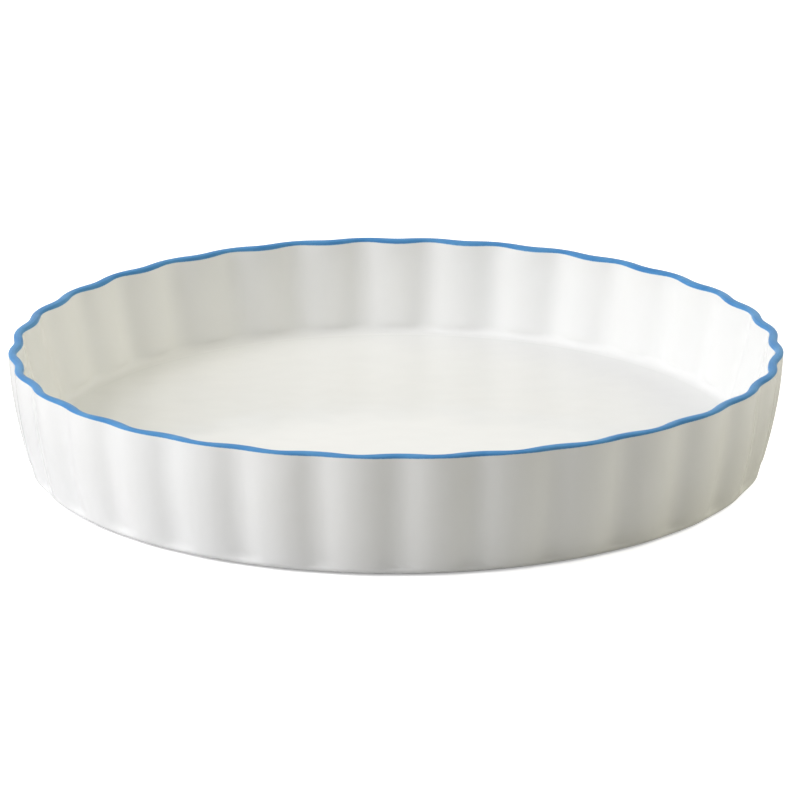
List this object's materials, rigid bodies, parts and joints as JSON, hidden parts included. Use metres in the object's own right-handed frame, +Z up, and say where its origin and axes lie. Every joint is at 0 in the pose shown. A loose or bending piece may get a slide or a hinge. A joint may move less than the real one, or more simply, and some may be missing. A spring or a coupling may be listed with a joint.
{
  "type": "fluted quiche dish",
  "caption": "Round shallow baking dish with a fluted side wall, a flat floor, a banded rim and a bare foot ring, for quiches and tarts.",
  "frame": {"origin": "centre of the circle that the dish stands on, at the level of the table", "axes": "+Z up, out of the open top; +X through a flute crest; +Y through another flute crest"},
  "size_m": [0.28, 0.28, 0.0448],
  "materials": {
    "white_glaze": "glossy white porcelain glaze",
    "blue_glaze": "glossy mid-blue band under clear glaze",
    "bare_biscuit": "unglazed, ground smooth and matt"
  },
  "bodies": {
    "root": {"fluted_wall": "white_glaze", "dish_floor": "white_glaze", "rim_band": "blue_glaze", "foot_ring": "bare_biscuit"}
  },
  "joints": []
}
